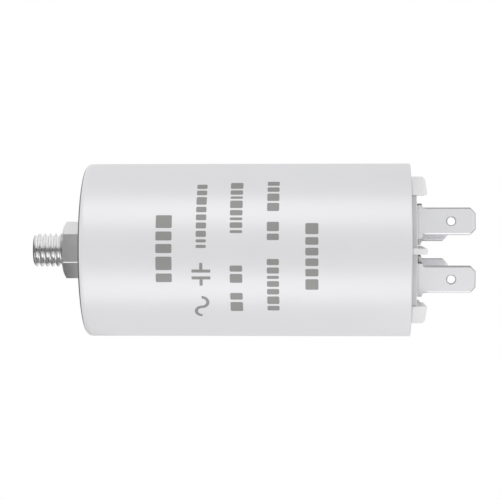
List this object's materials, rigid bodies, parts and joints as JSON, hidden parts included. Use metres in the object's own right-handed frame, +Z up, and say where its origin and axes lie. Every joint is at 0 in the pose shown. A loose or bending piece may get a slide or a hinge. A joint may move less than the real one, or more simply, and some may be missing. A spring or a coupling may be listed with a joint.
{
  "type": "motor-run film capacitor",
  "caption": "Cylindrical motor-run film capacitor: white plastic can, threaded mounting stud with a hex nut, and an end cover with double push-on terminals.",
  "frame": {"origin": "on the can's axis at the nut's outer face, where the free thread of the stud begins", "axes": "+Z up the can's axis towards the terminals; -Y is the front, where the long tabs stand; X runs across the two terminals"},
  "size_m": [0.04, 0.04, 0.1023],
  "materials": {
    "case_plastic": "satin moulded white",
    "cover_plastic": "satin moulded pale grey",
    "tinned_brass": "tin plated, rolled sheet",
    "rivet_metal": "tin plated",
    "lug_brass": "bare brass",
    "lead_red": "insulated wire",
    "lead_blue": "insulated wire",
    "metallised_film": "metallised film",
    "core_plastic": "moulded tube",
    "sprayed_zinc": "sprayed metal",
    "resin": "cast resin",
    "plated_steel": "zinc plated"
  },
  "bodies": {
    "root": {"case": "case_plastic", "end_cover": "cover_plastic", "terminal_a": "tinned_brass", "terminal_b": "tinned_brass", "rivet_a": "rivet_metal", "rivet_b": "rivet_metal", "solder_lug_a": "lug_brass", "solder_lug_b": "lug_brass", "lead_wire_a": "lead_red", "lead_wire_b": "lead_blue", "film_winding": "metallised_film", "winding_core": "core_plastic", "end_spray_top": "sprayed_zinc", "end_spray_bottom": "sprayed_zinc", "potting_resin": "resin", "stud": "plated_steel", "hex_nut": "plated_steel"}
  },
  "joints": []
}
